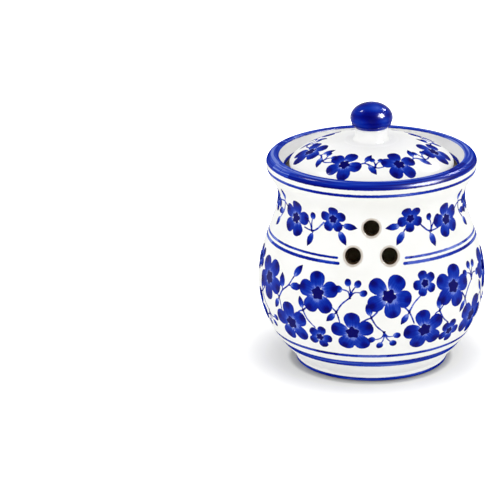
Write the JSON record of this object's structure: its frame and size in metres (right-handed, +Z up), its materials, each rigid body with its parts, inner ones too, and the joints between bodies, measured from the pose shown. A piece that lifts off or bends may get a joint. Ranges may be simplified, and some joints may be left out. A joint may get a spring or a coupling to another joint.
{
  "type": "garlic keeper",
  "caption": "Round-bellied glazed pot on a foot ring, with vent holes in its wall and a domed lid with a ball knob that drops into the mouth, for keeping garlic bulbs.",
  "frame": {"origin": "centre of the foot's underside, on the surface that the pot stands on", "axes": "+Z up the pot's axis through the knob; -Y towards the vents; +X to the right of someone who faces the vents"},
  "size_m": [0.128, 0.128, 0.1495],
  "materials": {
    "white_glaze": "glossy white glaze over buff clay, hand-painted in cobalt, bare clay under the foot",
    "cobalt_glaze": "glossy cobalt blue glaze"
  },
  "bodies": {
    "jar": {"jar": "white_glaze"},
    "lid": {"lid": "white_glaze", "lid_knob": "cobalt_glaze"}
  },
  "joints": [
    {"name": "lid_lift", "type": "slide", "parent": "jar", "child": "lid", "axis": [0, 0, 1], "range_m": [0, 0.05]}
  ]
}
